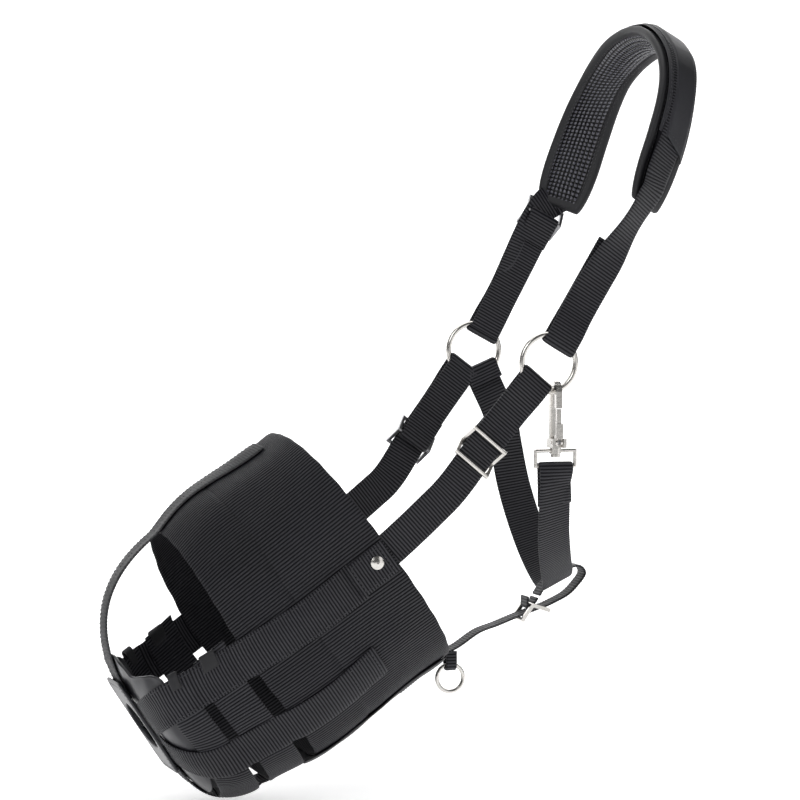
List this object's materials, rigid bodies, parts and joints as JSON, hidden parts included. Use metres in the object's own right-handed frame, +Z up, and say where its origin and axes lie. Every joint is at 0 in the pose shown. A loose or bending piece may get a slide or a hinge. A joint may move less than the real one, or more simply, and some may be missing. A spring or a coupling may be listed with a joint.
{
  "type": "basket muzzle",
  "caption": "Webbing grazing muzzle basket with a rubber floor, hung from a headstall with a padded crown, adjusting slides, rings and a trigger snap.",
  "frame": {"origin": "inner face of the crown pad at the top of its arch, where it rests on the poll", "axes": "+Z up as it hangs on a head, -X towards the nose, -Y towards the near side (the head's left)"},
  "size_m": [0.4303, 0.2012, 0.5541],
  "materials": {
    "webbing": "ribbed black nylon webbing",
    "smooth_trim": "smooth coated binding and sleeve cloth",
    "floor_rubber": "smooth semi-matt dark grey rubber sheet",
    "foam": "closed-cell foam",
    "nickel": "nickel plate, polished",
    "gunmetal": "dark nickel plate",
    "spring_steel": "plain spring wire"
  },
  "bodies": {
    "root": {"collar_rim_band": "webbing", "collar_lower_band": "webbing", "weave_strap_upper": "webbing", "weave_strap_lower": "webbing", "floor_panel": "floor_rubber", "floor_patch": "floor_rubber", "near_side_strap": "webbing", "far_side_strap": "webbing", "near_lower_strap": "webbing", "far_lower_strap": "webbing", "nose_strap": "webbing", "chin_panel": "smooth_trim", "chin_centre_strap": "webbing", "rivet_caps": "nickel", "rivet_washers": "nickel", "near_cheek_strap": "webbing", "far_cheek_strap": "webbing", "crown_strap": "webbing", "pad_core": "foam", "pad_lining": "webbing", "pad_cover": "webbing", "pad_binding": "smooth_trim", "pad_sleeve": "smooth_trim", "throat_strap": "webbing", "snap_eye": "nickel", "chin_strap": "webbing", "ring_keeper": "webbing"},
    "near_ring_body": {"near_ring": "nickel"},
    "far_ring_body": {"far_ring": "nickel"},
    "near_slide_body": {"near_cheek_slide": "nickel", "near_cheek_return": "webbing"},
    "far_slide_body": {"far_cheek_slide": "gunmetal", "far_cheek_return": "webbing"},
    "crown_slide_body": {"crown_slide": "gunmetal", "crown_return": "webbing"},
    "chin_slide_body": {"chin_slide": "nickel", "chin_return": "webbing"},
    "chin_ring_body": {"chin_ring": "nickel"},
    "snap_hook_body": {"snap_hook": "nickel", "gate_pin": "nickel", "gate_spring": "spring_steel"},
    "snap_gate_body": {"snap_gate": "nickel"}
  },
  "joints": [
    {"name": "near_ring_spin", "type": "hinge", "parent": "root", "child": "near_ring_body", "pos_m": [-0.1085, -0.088, -0.227], "axis": [0, 1, 0], "continuous": true},
    {"name": "far_ring_spin", "type": "hinge", "parent": "root", "child": "far_ring_body", "pos_m": [-0.1025, 0.088, -0.224], "axis": [0, 1, 0], "continuous": true},
    {"name": "near_slide_travel", "type": "slide", "parent": "root", "child": "near_slide_body", "axis": [-0.6428, 0, -0.766], "range_m": [-0.01, 0.03]},
    {"name": "far_slide_travel", "type": "slide", "parent": "root", "child": "far_slide_body", "axis": [-0.592, 0, -0.8059], "range_m": [-0.01, 0.03]},
    {"name": "crown_slide_travel", "type": "slide", "parent": "root", "child": "crown_slide_body", "axis": [-0.4772, 0, -0.8788], "range_m": [0, 0.03]},
    {"name": "chin_slide_travel", "type": "slide", "parent": "root", "child": "chin_slide_body", "axis": [-0.9511, 0, -0.309], "range_m": [-0.001, 0.012]},
    {"name": "chin_ring_swing", "type": "hinge", "parent": "root", "child": "chin_ring_body", "pos_m": [-0.15131, 0, -0.44879], "axis": [1, 0, 0], "range_deg": [-40, 40]},
    {"name": "snap_swivel", "type": "hinge", "parent": "root", "child": "snap_hook_body", "pos_m": [-0.1033, -0.088, -0.287], "axis": [0, 0, 1], "range_deg": [-18, 18]},
    {"name": "snap_gate_hinge", "type": "hinge", "parent": "snap_hook_body", "child": "snap_gate_body", "pos_m": [-0.1033, -0.0938, -0.2824], "axis": [-1, 0, 0], "range_deg": [0, 20], "stiffness_Nm_per_rad": 0.005}
  ]
}
